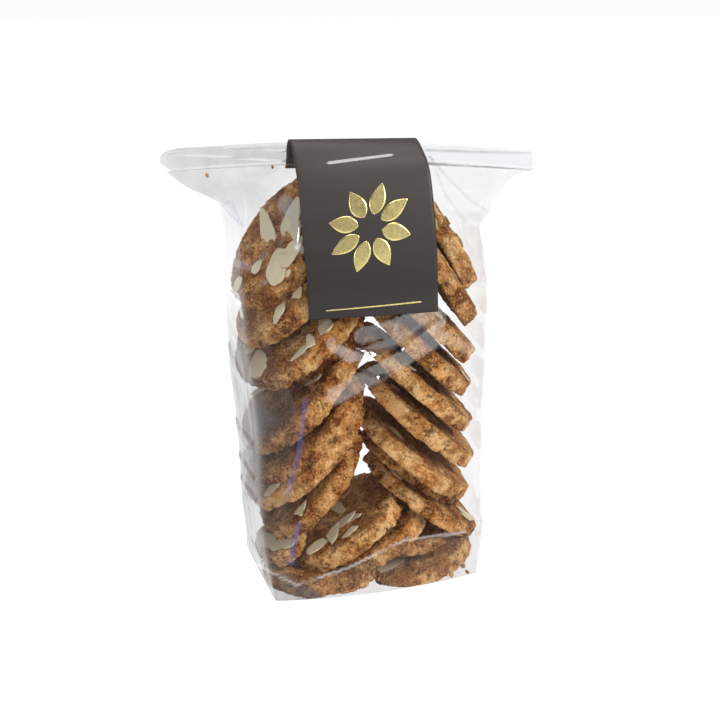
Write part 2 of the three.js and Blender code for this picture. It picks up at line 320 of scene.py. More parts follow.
def smooth(start, end, value):
    """0 before start, 1 after end, and the curve 3t^2 - 2t^3 between them."""
    t = np.clip((value - start) / (end - start), 0, 1)
    return t * t * (3 - 2 * t)


def mix(a, b, t):
    return a + (b - a) * t


def size_at(table, z):
    """The size at each height: cubic Hermite through (height, size), with the harmonic mean of the
    slopes on either side as each tangent, and the end sizes beyond the ends."""
    heights, sizes = np.array(table, float).T
    slopes = np.diff(sizes) / np.diff(heights)
    before, after = slopes[:-1], slopes[1:]
    same_way = before * after > 0
    total = np.where(same_way, before + after, 1)
    tangents = np.concatenate([slopes[:1], np.where(same_way, 2 * before * after / total, 0), slopes[-1:]])
    z = np.clip(z, heights[0], heights[-1])
    k = np.clip(np.searchsorted(heights, z, side="right") - 1, 0, len(heights) - 2)
    span = heights[k + 1] - heights[k]
    t = (z - heights[k]) / span
    return (
        (2 * t**3 - 3 * t**2 + 1) * sizes[k]
        + (t**3 - 2 * t**2 + t) * span * tangents[k]
        + (3 * t**2 - 2 * t**3) * sizes[k + 1]
        + (t**3 - t**2) * span * tangents[k + 1]
    )


def hashed(cells, seed):
    """A number from 0 to 1 for each cell of whole coordinates (..., 3): its three numbers and the seed,
    times large odd numbers, added and scrambled by shifts within 32 bits."""
    a, b, c, d = 374761393, 668265263, 2246822519, 1274126177
    word, last_bits = 0xFFFFFFFF, 0xFFFFFF
    h = (cells[..., 0] * a + cells[..., 1] * b + cells[..., 2] * c + seed * d) & word
    h = ((h ^ (h >> 13)) * d) & word
    h = ((h ^ (h >> 15)) * a) & word
    return ((h ^ (h >> 16)) & last_bits) / last_bits


def soft_noise(points, size, seed):
    """Noise from -1 to 1: hashed numbers on a lattice `size` apart, joined along each axis by the curve
    3t^2 - 2t^3."""
    q = points / size
    cell = np.floor(q).astype(np.int64)
    t = q - cell
    t = t * t * (3 - 2 * t)
    total = 0
    for corner in np.ndindex(2, 2, 2):
        weight = np.prod(np.where(corner, t, 1 - t), axis=-1)
        total = total + weight * hashed(cell + np.array(corner), seed)
    return 2 * total - 1


def lumps(points, size, seed):
    """Knobbly lumps, one scattered in each cell of a lattice: 1 at a lump's middle, and 1 - distance /
    size round it, taken from the nearest one, so that sharp valleys part them."""
    q = points / size
    cell = np.floor(q).astype(np.int64)
    nearest = np.full(q.shape[:-1], np.inf)
    for step in np.ndindex(3, 3, 3):
        other = cell + np.array(step) - 1
        middle = other + np.stack([hashed(other, seed + k) for k in range(3)], -1)
        nearest = np.minimum(nearest, ((q - middle) ** 2).sum(-1))
    return 1 - np.sqrt(nearest)


def turned(lean, tip):
    """The matrix that tips a level disc to the front, then leans its top face to the left, in
    degrees."""
    a, b = math.radians(-lean), math.radians(tip)
    about_x = np.array([[1, 0, 0], [0, math.cos(b), -math.sin(b)], [0, math.sin(b), math.cos(b)]])
    about_y = np.array([[math.cos(a), 0, math.sin(a)], [0, 1, 0], [-math.sin(a), 0, math.cos(a)]])
    return about_y @ about_x


def seen_from(place, points):
    """Points of the pack in a biscuit's own frame, whose origin is its middle and whose Z leaves its
    top."""
    return (points - np.array([place.x, place.y, place.z])) @ turned(place.lean, place.tip)


def in_pack(place, points):
    """The reverse: a biscuit's own points, in the frame of the pack."""
    return points @ turned(place.lean, place.tip).T + np.array([place.x, place.y, place.z])


def turned_about_z(degrees):
    a = math.radians(degrees)
    return np.array([[math.cos(a), -math.sin(a), 0], [math.sin(a), math.cos(a), 0], [0, 0, 1]])


def tumbled(rng, count):
    """Random turns, from random unit quaternions, as matrices."""
    w, x, y, z = rng.normal(size=(4, count))
    n = np.sqrt(w * w + x * x + y * y + z * z)
    w, x, y, z = w / n, x / n, y / n, z / n
    return np.stack(
        [
            np.stack([1 - 2 * (y * y + z * z), 2 * (x * y - w * z), 2 * (x * z + w * y)], -1),
            np.stack([2 * (x * y + w * z), 1 - 2 * (x * x + z * z), 2 * (y * z - w * x)], -1),
            np.stack([2 * (x * z - w * y), 2 * (y * z + w * x), 1 - 2 * (x * x + y * y)], -1),
        ],
        -2,
    )


def camera_axes():
    """The camera's right, downward and forward directions."""
    a, p = math.radians(CAMERA_TURN), math.radians(CAMERA_DIP)
    right = np.array([math.cos(a), -math.sin(a), 0])
    forward = np.array([math.sin(a) * math.cos(p), math.cos(a) * math.cos(p), -math.sin(p)])
    return right, np.cross(forward, right), forward


def seen_at(points):
    """Where points show in the photograph's frame: (pixels across, pixels down)."""
    right, below, forward = camera_axes()
    way = points - np.array(CAMERA_AT)
    depth = way @ forward
    middle = PHOTO_SIDE / 2
    return middle + FOCAL_PIXELS * (way @ right) / depth, middle + FOCAL_PIXELS * (way @ below) / depth


# Meshes


def stacked(x, y, z):
    """Three coordinates, spread to one shape, as points."""
    return np.stack(np.broadcast_arrays(x, y, z), -1)


def grid_quads(rows, columns):
    """Quads between the points of a grid that is stored row by row, with each row closed on itself."""
    r, c = np.meshgrid(np.arange(rows - 1), np.arange(columns), indexing="ij")
    a, b = r * columns + c, r * columns + (c + 1) % columns
    return np.stack([a, b, b + columns, a + columns], -1).reshape(-1, 4)


def end_strip(first, count, turned_round):
    """Closes a ring of an even number of points by a strip of quads between its two halves."""
    k = np.arange((count - 1) // 2)
    quads = np.stack([k, k + 1, count - 2 - k, count - 1 - k], -1) + first
    quads = quads[k + 1 < count - 2 - k]
    return quads[:, ::-1] if turned_round else quads


def closed_stack(rings):
    """The quads of a stack of rings (rows, sides, 3), closed at both ends by strips across them."""
    rows, sides = rings.shape[:2]
    return np.concatenate(
        [grid_quads(rows, sides), end_strip(0, sides, True), end_strip((rows - 1) * sides, sides, False)]
    )


def put_in(name, data):
    """A new object in the scene, with that mesh, lamp or camera."""
    holder = bpy.data.objects.new(name, data)
    bpy.context.scene.collection.objects.link(holder)
    return holder


def new_piece(name, points, faces, finish, slot, values=None):
    """A mesh object at the origin, from points in millimetres, faces (n, 3) or (n, 4) and one value a
    point for each named attribute. It rides on the pack."""
    points = np.asarray(points, float).reshape(-1, 3)
    mesh = bpy.data.meshes.new(name)
    mesh.vertices.add(len(points))
    mesh.vertices.foreach_set("co", (points * MM).astype(np.float32).ravel())
    mesh.loops.add(faces.size)
    mesh.loops.foreach_set("vertex_index", faces.astype(np.int32).ravel())
    mesh.polygons.add(len(faces))
    mesh.polygons.foreach_set("loop_start", np.arange(0, faces.size, faces.shape[1], dtype=np.int32))
    mesh.update(calc_edges=True)
    mesh.validate()
    mesh.shade_smooth()
    for key, numbers in (values or {}).items():
        layer = mesh.attributes.new(key, "FLOAT", "POINT")
        layer.data.foreach_set("value", np.asarray(numbers, np.float32).ravel())
    mesh.materials.append(finish)
    piece = put_in(name, mesh)
    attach(piece, "root")
    return piece


# Finishes


class Value:
    """A number that varies over a surface: a node's output, with operators that add Math nodes."""

    def __init__(self, finish, socket):
        self.finish = finish
        self.socket = socket

    def maths(self, operation, *numbers):
        return self.finish.node("ShaderNodeMath", {"operation": operation}, dict(enumerate(numbers)))

    def __add__(self, other):
        return self.maths("ADD", self, other)

    def __sub__(self, other):
        return self.maths("SUBTRACT", self, other)

    def __rsub__(self, other):
        return self.maths("SUBTRACT", other, self)

    def __mul__(self, other):
        return self.maths("MULTIPLY", self, other)

    def __pow__(self, other):
        return self.maths("POWER", self, other)

    __radd__ = __add__
    __rmul__ = __mul__

    def between(self, low, high):
        """0 on low's side, 1 on high's side and smoothly between, whichever of the two is greater."""
        ends = {"From Min": low, "From Max": high, "To Min": 0, "To Max": 1}
        settings = {"interpolation_type": "SMOOTHSTEP"}
        return self.finish.node("ShaderNodeMapRange", settings, {"Value": self, **ends})


class Finish:
    """A material while it is built, from Object coordinates and the piece's own attributes."""

    def __init__(self, name):
        self.material = bpy.data.materials.new(name)
        self.material.use_nodes = True
        self.tree = self.material.node_tree
        self.tree.nodes.clear()
        self.place = self.node("ShaderNodeTexCoord", output="Object")

    def node(self, kind, settings=None, inputs=None, output=0):
        """Adds a node of that type, with its settings first and then the values or links of its
        sockets."""
        node = self.tree.nodes.new(kind)
        for name, setting in (settings or {}).items():
            setattr(node, name, setting)
        for key, value in (inputs or {}).items():
            if isinstance(value, Value):
                self.tree.links.new(value.socket, node.inputs[key])
            else:
                socket = node.inputs[key]
                socket.default_value = (*value, 1) if socket.type == "RGBA" and len(value) == 3 else value
        return Value(self, node.outputs[output])

    def attribute(self, name):
        return self.node("ShaderNodeAttribute", {"attribute_name": name}, output="Fac")

    def stretched(self, x, y, z):
        """The place, scaled by those shares along each axis."""
        return self.node("ShaderNodeVectorMath", {"operation": "MULTIPLY"}, {0: self.place, 1: (x, y, z)})

    def noise(self, size, detail=2, roughness=0.5, place=None):
        """Noise from 0 to 1, whose blotches are about `size` millimetres."""
        numbers = {"Scale": 1 / (size * MM), "Detail": detail, "Roughness": roughness}
        return self.node("ShaderNodeTexNoise", {}, {"Vector": place or self.place, **numbers})

    def cells(self, size):
        """The distance to the nearest of points about `size` millimetres apart, from 0 to about 1."""
        return self.node("ShaderNodeTexVoronoi", {}, {"Vector": self.place, "Scale": 1 / (size * MM)})

    def colours(self, factor, first, second, how="MIX"):
        """The first colour where factor is 0 and the second where it is 1."""
        settings = {"data_type": "RGBA", "blend_type": how}
        return self.node("ShaderNodeMix", settings, {0: factor, 6: first, 7: second}, output=2)

    def bump(self, height, distance, strength=1.0):
        numbers = {"Height": height, "Distance": distance * MM, "Strength": strength}
        return self.node("ShaderNodeBump", {}, numbers)

    def principled(self, **numbers):
        numbers = {key.replace("_", " "): value for key, value in numbers.items()}
        return self.node("ShaderNodeBsdfPrincipled", {}, numbers)

    def mixed(self, factor, first, second):
        return self.node("ShaderNodeMixShader", {}, {0: factor, 1: first, 2: second})

    def done(self, shader):
        output = self.tree.nodes.new("ShaderNodeOutputMaterial")
        self.tree.links.new(shader.socket, output.inputs["Surface"])
        return self.material


def grey(level):
    return (level, level, level)


def lit(colour, share):
    """A colour, that many times as bright."""
    return tuple(c * share for c in colour)


def biscuit_finish(colours):
    """Sandy baked crumb: golden, tan and brown by blotches and grain, lighter on the lumps and darker in
    the hollows, with the cracks and pits near black, which is painted light and shade on the relief,
    browned along the upper edge, scorched in patches, with pale specks of sugar and dark pores."""
    f = Finish("baked_biscuit")
    crag, side, bake = f.attribute("crag"), f.attribute("side"), f.attribute("bake")
    dark, burnt_and_crevice_shade = colours.crumb_dark, colours.crust_burnt_and_crevice_shade
    grain = f.noise(1.3, 3, 0.7).between(0.34, 0.66)
    blotch = f.noise(10, 3, 0.6).between(0.36, 0.64)
    # crag lightens the knobs and darkens the hollows: painted light and shade on the relief.
    tone = grain * 0.34 + crag * 0.22 + blotch * 0.58 - bake * 0.28
    crumb = f.colours(tone.between(0.03, 0.36), dark, colours.crumb_tan)
    crumb = f.colours(tone.between(0.4, 0.74), crumb, colours.crumb_light)
    reddish = f.noise(13, 2, 0.6).between(0.46, 0.62)
    crumb = f.colours(reddish * 0.8, crumb, (0.86, 0.66, 0.46, 1), "MULTIPLY")
    # Painted shade: cracks, pits and deep hollows darkened towards near black.
    crevice_shade = (crag + grain * 0.25).between(0.2, 0.04)
    crumb = f.colours(crevice_shade * 0.7, crumb, burnt_and_crevice_shade)
    toasted = side.between(0.18, 0.5) * f.noise(5, 3, 0.65).between(0.44, 0.6)
    crumb = f.colours(toasted * 0.75, crumb, dark)
    scorched = f.noise(9, 4, 0.65).between(0.55, 0.66) * f.noise(2, 2).between(0.36, 0.56)
    crumb = f.colours(scorched * 0.7, crumb, burnt_and_crevice_shade)
    shade = f.colours(f.noise(0.9, 3, 0.75).between(0.3, 0.7), grey(0.74), grey(1.0))
    crumb = f.colours(1.0, crumb, shade, "MULTIPLY")
    pores = f.cells(2.7).between(0.2, 0.08) * f.noise(3, 1).between(0.45, 0.6)
    crumb = f.colours(pores * 0.4, crumb, dark)
    sugar = f.cells(1.7).between(0.26, 0.12) * f.noise(4, 1).between(0.42, 0.55)
    crumb = f.colours(sugar * 0.65, crumb, colours.crumb_speck)
    normal = f.bump(f.noise(1.0, 4, 0.7) + f.cells(1.5) * 0.7, 0.8, 1.0)
    rough = 0.74 - f.noise(6, 2).between(0.5, 0.75) * 0.3
    return f.done(f.principled(Base_Color=crumb, Roughness=rough, Specular_IOR_Level=0.09, Normal=normal))


def almond_finish(colours):
    """Cut almond: waxy cream, slightly streaked along the flake, with a thin brown skin round its
    edge."""
    f = Finish("almond_flake")
    edge = f.attribute("edge")
    cream = f.colours(f.noise(5, 2), colours.almond, lit(colours.almond, 0.8))
    skin = edge.between(0.9, 1.0) * f.noise(4, 2).between(0.42, 0.6)
    cream = f.colours(skin, cream, colours.almond_skin)
    normal = f.bump(f.noise(1.6, 2), 0.15, 0.6)
    return f.done(f.principled(Base_Color=cream, Roughness=f.noise(3) * 0.2 + 0.38, Normal=normal))


def film_finish(colours, haze):
    """Thin clear film: it lets light through and mirrors more towards a glance, as the fourth power of
    1 - cos(angle). Where it is creased, greased or folded over itself it is milky (veil); the milk also
    draws one painted shade line, and in a few painted reflections it turns bluish (blue_reflection). In
    painted bands and lines it mirrors more (glare), as painted reflections and highlights."""
    f = Finish("clear_film")
    veil, glare, shine = f.attribute("veil"), f.attribute("glare"), f.attribute("shine")
    streaks = f.noise(7, 3, 0.6, f.stretched(1, 1, 0.35))
    cloudy = veil * haze * (streaks * 1.1 + 0.45)
    normal = f.bump(f.noise(14, 2, 0.5, f.stretched(1, 1, 0.5)), 0.6, 0.5)
    glance = f.node("ShaderNodeLayerWeight", {}, {"Blend": 0.5, "Normal": normal}, output="Facing")
    # glare adds mirroring in the marks' bands and lines: painted reflections and highlights.
    mirror = (glance**4 * 0.7 + 0.006) * shine + glare * (streaks * 0.8 + 0.6)
    clear = f.node("ShaderNodeBsdfTransparent", {}, {"Color": (0.962, 0.962, 0.966, 1)})
    # Painted bluish reflection: the milk turns blue along the blue_reflection streaks.
    tint = f.colours(f.attribute("blue_reflection"), colours.film, colours.film_blue_reflection)
    milk = f.principled(Base_Color=tint, Roughness=0.5)
    gloss = f.principled(Base_Color=(1, 1, 1, 1), Metallic=1.0, Roughness=0.06, Normal=normal)
    return f.done(f.mixed(mirror, f.mixed(cloudy, clear, milk), gloss))


def card_finish(colours):
    """Dark laid card: fine ribs across it, a warm charcoal that is a little lighter along the ribs, with
    broad painted sheen bands across it and painted light towards the fold, with a satin coat."""
    f = Finish("ribbed_card")
    rib_pitch, fold_foot, fold_top = 1.1 * MM, 150 * MM, 215 * MM
    wave = {"Vector": f.place, "Scale": 1 / rib_pitch / 2, "Distortion": 0.4}
    ribs = f.node("ShaderNodeTexWave", {"bands_direction": "Z"}, wave)
    fibre = f.noise(0.5, 3, 0.7, f.stretched(0.25, 1, 1))
    # Broad painted sheen bands, lighter and darker across the card.
    bands = f.noise(26, 2, 0.5, f.stretched(0.5, 1, 1.4)).between(0.3, 0.7)
    tone = ribs * 0.3 + fibre * 0.3 + bands * 0.4
    tone = f.colours(tone, lit(colours.card, 0.7), lit(colours.card, 1.4))
    # Painted light: the card lighter towards the fold at its top.
    height = f.node("ShaderNodeSeparateXYZ", {}, {0: f.place}, output="Z")
    tone = f.colours(height.between(fold_foot, fold_top) * 0.85, tone, lit(colours.card, 2.2))
    normal = f.bump(ribs * 0.6 + fibre * 0.6, 0.05, 0.5)
    rough = f.noise(2) * 0.12 + 0.36
    return f.done(f.principled(Base_Color=tone, Roughness=rough, Specular_IOR_Level=0.25, Normal=normal))


def foil_finish(colours):
    """Stamped gold foil: bright metal with worn, slightly darker flecks."""
    f = Finish("stamped_foil")
    gold = f.colours(f.noise(1.5, 3, 0.7).between(0.45, 0.7), colours.foil, lit(colours.foil, 0.75))
    rough = f.noise(2, 2) * 0.15 + 0.2
    normal = f.bump(f.noise(2.5, 2), 0.12, 0.5)
    return f.done(f.principled(Base_Color=gold, Metallic=1.0, Roughness=rough, Normal=normal))


def ink_finish(colours):
    """Pale printed ink on the card, slightly broken up by its ribs."""
    f = Finish("pale_ink")
    tone = f.colours(f.noise(0.8, 2).between(0.3, 0.7), lit(colours.ink, 0.8), colours.ink)
    return f.done(f.principled(Base_Color=tone, Roughness=0.5, Normal=f.bump(f.noise(0.5), 0.03, 0.4)))


def floor_finish():
    """A plain pale studio floor, with the faintest mottling."""
    f = Finish("studio_floor")
    tone = f.colours(f.noise(60, 2), grey(0.1), grey(0.12))
    glow = {"Emission_Color": grey(1.0), "Emission_Strength": 0.98}
    return f.done(f.principled(Base_Color=tone, Roughness=0.9, **glow))


# The bag's form


def droop(x, z):
    """How far the top hangs: the square of the share of the way from the crown to a tip, times that
    side's droop."""
    left = x < FIN_CROWN_X
    reach = np.where(left, FIN_HALF_LENGTH + FIN_CROWN_X, FIN_HALF_LENGTH - FIN_CROWN_X)
    most = np.where(left, LEFT_DROOP, RIGHT_DROOP)
    return -most * ((x - FIN_CROWN_X) / reach) ** 2 * smooth(DROOP_START, MOUTH_HEIGHT, z)


def bulge(x, half):
    """1 in the middle of a panel and 0 at its corners, as 1 - (x / half)^2."""
    return np.clip(1 - (x / half) ** 2, 0, None)


def half_depth(x, z, side):
    """How far the front (side -1) or back (side 1) panel stands from the middle at x and height z: the
    corners' depths joined by a straight line, plus the panel's bow."""
    left, right = size_at(LEFT_CORNER, z), size_at(RIGHT_CORNER, z)
    depth = size_at(OTHER_DEPTH, z)
    near = np.where(side < 0, size_at(FRONT_LEFT_DEPTH, z), depth)
    across = np.clip((x + left) / (left + right), 0, 1)
    return mix(near, depth, across) + size_at(PANEL_BOW, z) * bulge(x, np.where(x < 0, left, right))


def held_inside(points, clearance):
    """Presses points back inside the film, to that clearance: across by the half widths with their
    bows, and to the front and back by the half depth."""
    x, y, z = points.T.copy()
    level = z - droop(x, z)
    width = np.where(x < 0, size_at(LEFT_CORNER, level), size_at(RIGHT_CORNER, level))
    bow = np.where(x < 0, size_at(LEFT_BOW, level), size_at(RIGHT_BOW, level))
    reach = half_depth(np.clip(x, -width, width), level, np.sign(y))
    most_x = width + bow * bulge(y, reach) - clearance
    x = np.clip(x, -most_x, most_x)
    most_y = half_depth(np.clip(x, -width, width), level, np.sign(y)) - clearance
    y = np.clip(y, -most_y, most_y)
    return np.stack([x, y, np.maximum(z, clearance * 0.5)], 1)


def film_sections(z):
    """Rings of the bag's section at each height: six corners, two of them wing tips, each rounded by a
    quadratic curve, with straight stretches between them that the panels' and sides' bows push out."""
    left, right = size_at(LEFT_CORNER, z), size_at(RIGHT_CORNER, z)
    front, depth = size_at(FRONT_LEFT_DEPTH, z), size_at(OTHER_DEPTH, z)
    left_wing = np.maximum(left, size_at(LEFT_WING, z))
    right_wing = np.maximum(right, size_at(RIGHT_WING, z))
    rounded, wing = size_at(CORNER_RADIUS, z), size_at(WING_RADIUS, z)
    none = np.zeros_like(z)
    corners = [
        (-left_wing, none), (-left, -front), (right, -depth),
        (right_wing, none), (right, depth), (-left, depth),
    ]
    radii = [wing, rounded, rounded, wing, rounded, rounded]
    corners = [np.stack(c, -1) for c in corners]
    most_share = 0.42

    def towards(i, j):
        """Where corner i's rounding ends on the way to corner j."""
        way = corners[j] - corners[i]
        length = np.linalg.norm(way, axis=1)
        return corners[i] + way * (np.minimum(radii[i], most_share * length) / length)[:, None]

    ring = []
    for i, steps in enumerate(SIDE_POINTS):
        after, before = (i + 1) % 6, (i + 5) % 6
        start, end = towards(i, after)[:, None], towards(after, i)[:, None]
        t = (np.arange(CORNER_POINTS + 1) / CORNER_POINTS)[None, :, None]
        corner = corners[i][:, None]
        curve = (1 - t) ** 2 * towards(i, before)[:, None] + 2 * t * (1 - t) * corner + t**2 * start
        t = (np.arange(1, steps) / steps)[None, :, None]
        ring += [curve, mix(start, end, t)]
    ring = np.concatenate(ring, 1)
    x, y = ring[..., 0], ring[..., 1]
    left, right, front, depth, level = (size[:, None] for size in (left, right, front, depth, z))
    half = np.where(x < 0, left, right)
    reach = np.where((x < 0) & (y < 0), front, depth)
    bow = np.where(x < 0, -size_at(LEFT_BOW, level), size_at(RIGHT_BOW, level))
    out_x = x + bow * (bulge(y, reach) * smooth(0.6, 1, np.abs(x) / half))
    out_y = y + np.sign(y) * size_at(PANEL_BOW, level) * bulge(x, half) * smooth(0.5, 1, np.abs(y) / reach)
    return stacked(out_x, out_y, level)


def pressed_out(points):
    """How far the film is pushed out by what lies behind it: what is missing of the reach to the
    nearest biscuit, taken as a flat disc, less towards the top, and none at the base."""
    nearest = np.full(points.shape[:-1], np.inf)
    for place in BISCUITS.values():
        x, y, z = np.moveaxis(seen_from(place, points), -1, 0)
        across = np.abs(z) - place.thickness / 2
        radial = np.hypot(x, y / place.share) - place.radius
        outside = np.hypot(np.maximum(across, 0), np.maximum(radial, 0))
        nearest = np.minimum(nearest, outside + np.minimum(np.maximum(across, radial), 0))
    z = points[..., 2]
    foot, upper, shoulder = (2, 14), (122, 136), (166, 180)
    most = PRESS_MOST * mix(1, 0.5, smooth(*upper, z))
    return np.clip(PRESS_REACH - nearest, 0, most) * smooth(*foot, z) * (1 - smooth(*shoulder, z))


def outward(points):
    """Unit normals of a closed stack of rings, from the differences between neighbours along and across
    it."""
    around = np.roll(points, -1, 1) - np.roll(points, 1, 1)
    up = np.gradient(points, axis=0)
    normal = np.cross(around, up)
    return normal / np.maximum(np.linalg.norm(normal, axis=-1, keepdims=True), 1e-9)


def fold_height(points, start, end, width, height):
    """A fold along a line: height times a tent, softened at its top, over the distance from the
    line."""
    way = end - start
    length = np.linalg.norm(way)
    along = ((points - start) @ way) / length**2
    off = np.linalg.norm(points - start - np.clip(along, 0, 1)[..., None] * way, axis=-1)
    softness = 0.02
    return height * np.clip(1 - np.sqrt((off / width) ** 2 + softness), 0, None)


def on_front(x, z):
    """The place on the front film at x and height z, on the wing's straight slope where x is past the
    corner."""
    level = z - droop(np.float64(x), np.float64(z))
    corner = size_at(LEFT_CORNER if x < 0 else RIGHT_CORNER, level)
    wing = np.maximum(corner + 0.01, size_at(LEFT_WING if x < 0 else RIGHT_WING, level))
    slope = np.clip((wing - abs(x)) / (wing - corner), 0, 1) ** (abs(x) > corner)
    depth = half_depth(np.clip(x, -corner, corner), level, -1) * slope
    return np.array([x, -float(depth), z])


def wrinkles(points, normal):
    """Heights of the film's own creases: listed folds on the front, ridges of stretched noise up
    the sides and back, and a fan of shallow waves on the shoulders."""
    height = 0
    for x0, z0, x1, z1, width, rise in FRONT_FOLDS:
        height = height + fold_height(points, on_front(x0, z0), on_front(x1, z1), width, rise)
    x, y, z = points[..., 0], points[..., 1], points[..., 2]
    upright = points / np.array([1, 1, 4.0])
    slanted = np.stack([x + 0.7 * z, y, z - 0.7 * x], -1) / np.array([1, 1, 3.5])
    ridges = 1 - np.abs(soft_noise(upright, 11, 5)) * 2
    crossing = 1 - np.abs(soft_noise(slanted, 14, 6)) * 2
    waves = soft_noise(points, 26, 7)
    foot, shoulder, mouth = (0, 10), (165, 185), (200, MOUTH_HEIGHT)
    calm = smooth(*foot, z) * (1 - 0.4 * smooth(*shoulder, z)) * (1 - smooth(*mouth, z))
    much = 0.28 + 0.35 * np.abs(normal[..., 0]) + 0.3 * (normal[..., 1] > 0)
    return height + calm * (much * (0.45 * ridges + 0.4 * crossing) + 0.5 * waves)


# Pieces


def band(across, down, path, width, soft):
    """1 within half a width of a broken line in the photograph's frame, falling to 0 over the softness
    outside it."""
    nearest = np.full(across.shape, np.inf)
    for (x0, y0), (x1, y1) in zip(path, path[1:]):
        way = np.array([x1 - x0, y1 - y0], float)
        t = np.clip(((across - x0) * way[0] + (down - y0) * way[1]) / (way @ way), 0, 1)
        nearest = np.minimum(nearest, np.hypot(across - x0 - t * way[0], down - y0 - t * way[1]))
    return 1 - smooth(width / 2, width / 2 + soft, nearest)


def front_marks(points, normal):
    """The marks that the photograph shows on the front, laid on the film that faces the camera: how milky,
    mirroring and bluish they make it, which paints reflections, highlights and one shade line there."""
    across, down = seen_at(points)
    camera_distance = 600
    near = smooth(0, 0.12, ((np.array(CAMERA_AT) - points) * normal).sum(-1) / camera_distance)
    marks = {key: np.zeros_like(across) for key in ("veil", "glare", "blue_reflection")}
    for kind, path, width, soft, amount in FILM_MARKS:
        mark = near * band(across, down, path, width, soft) * amount
        target = "glare" if kind == "glare" else "veil"
        marks[target] = np.maximum(marks[target], mark)
        if kind == "blue_reflection":
            marks["blue_reflection"] = np.maximum(marks["blue_reflection"], np.minimum(mark * 4, 1))
    return across, down, near, marks


def film_marks(points, normal, level, push):
    """How milky, mirroring, shining and bluish the film is at each point: a little all over, more on
    the folded left side, on the wings and round the base, and the marks of the front with their painted
    reflections, highlights and shade."""
    x = points[..., 0]
    left, right = smooth(*FOLDED_LEFT, x), smooth(*FOLDED_RIGHT, x)
    header = smooth(*HEADER, level)
    across, down, near, marks = front_marks(points, normal)
    veil = 0.004 + header * (0.03 + 0.14 * left + 0.01 * right)
    veil = veil + (1 - header) * (0.05 * left + 0.06 * right)
    veil = veil + 0.02 * smooth(0.2, 0.9, push)
    edge_across, edge_down = np.array(HAZE_EDGE, float).T
    edge = np.interp(down, edge_down, edge_across)
    haze = (1 - smooth(edge - 2, edge + 1.5, across)) * smooth(*HAZE_STARTS, down)
    veil = veil + near * haze * (0.12 + 0.55 * smooth(*HAZE_THICKENS, edge - across))
    fold_across, fold_down = np.array(BASE_FOLD, float).T
    fold = np.interp(across, fold_across, fold_down)
    veil = veil + near * 0.12 * smooth(fold - 1, fold + 1.5, down)
    marks["veil"] = np.maximum(veil, marks["veil"])
    marks["shine"] = mix(0.15, 0.9, smooth(0.1, 1.5, level))
    return marks


def build_film(sizes, colours):
    """The bag's clear film: the sections on a fine grid, pressed out by the biscuits and creased.
    Returns its finish."""
    foot = np.linspace(0, FOOT_TOP, FOOT_ROWS)[:-1]
    body = np.linspace(FOOT_TOP, SHOULDER_FOOT, BODY_ROWS)[:-1]
    shoulders = np.linspace(SHOULDER_FOOT, MOUTH_HEIGHT, SHOULDER_ROWS)
    points = film_sections(np.concatenate([foot, body, shoulders]))
    normal = outward(points)
    push = pressed_out(points)
    crease = wrinkles(points, normal) * sizes.crease_depth
    level = points[..., 2].copy()
    points = points + normal * (push + crease)[..., None] * smooth(0, 5, level)[..., None]
    least_height = 0.06
    points[..., 2] = np.maximum(points[..., 2] + droop(points[..., 0], level), least_height)
    marks = film_marks(points, normal, level, push)
    finish = film_finish(colours, sizes.film_haze)
    film = new_piece("film_bag", points, closed_stack(points), finish, "clear_film", marks)
    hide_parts("bag")
    return finish


def fin_rings(x, scale, valley):
    """Rings of the folded fin along X: an upright flattened roll, its front and back pinched along the
    middle by the fold, a bell curve that deep, and its ends rounded as sqrt(1 - inset^2)."""
    rounding = FIN_END_ROUNDING * np.where(x < 0, FIN_LEFT_ROUNDING, 1)
    inset = 1 - np.clip((FIN_HALF_LENGTH - np.abs(x)) / rounding, 0, 1)
    end = mix(FIN_END_SHARE, 1, np.sqrt(1 - inset**2))[:, None]
    depth = mix(FIN_MIDDLE_HALF_DEPTH, FIN_TIP_HALF_DEPTH, (x / FIN_HALF_LENGTH) ** 2)[:, None] * scale
    angle = (TURN * (np.arange(FIN_SIDES) + 0.5) / FIN_SIDES)[None, :]
    rise = np.sin(angle)
    across = np.cos(angle) * (1 - valley * np.exp(-((rise / FIN_VALLEY_WIDTH) ** 2)))
    cut = np.clip((FIN_HALF_LENGTH + x) / FIN_LOWER_CUT, 0, 1)
    lower_end = mix(FIN_LOWER_END_SHARE, 1, cut)[:, None]
    height = FIN_HALF_HEIGHT * scale * np.where((rise < 0) & (x[:, None] < 0), lower_end, end) * rise
    points = stacked(x[:, None], depth * end * across, FIN_CENTRE_HEIGHT + height)
    wave = soft_noise(points / np.array([3.0, 1, 1]), 5, 11) * 0.25 + soft_noise(points, 17, 12) * 0.3
    points[..., 1] += wave * scale
    points[..., 2] += droop(points[..., 0], MOUTH_HEIGHT) + (wave * 0.4) * (np.abs(rise) < 0.9)
    return points


def build_fin(finish):
    """The folded fin: the outer roll of film and a narrower fold inside it, which fades out at its
    ends."""
    for name, scale, valley, veil in (("film_fin", 1.0, 0.5, 1.0), ("film_fin_fold", INNER_FOLD, 0.2, 0.6)):
        half_length = FIN_HALF_LENGTH * scale**0.1
        x = half_length * np.sin(np.linspace(-math.pi / 2, math.pi / 2, FIN_ROWS))
        rings = fin_rings(x, scale, valley)
        rings[..., 1] *= FIN_THINNESS
        x = rings[..., 0]
        _, _, _, values = front_marks(rings, outward(rings))
        fade = 1 if scale == 1 else smooth(0, 25, half_length - np.abs(x))
        values["veil"] = fade * np.maximum(veil * mix(0.01, 0.13, smooth(10, -40, x)), values["veil"])
        values["shine"] = 0.5 * fade * np.ones_like(x)
        new_piece(name, rings, closed_stack(rings), finish, "clear_film", values)


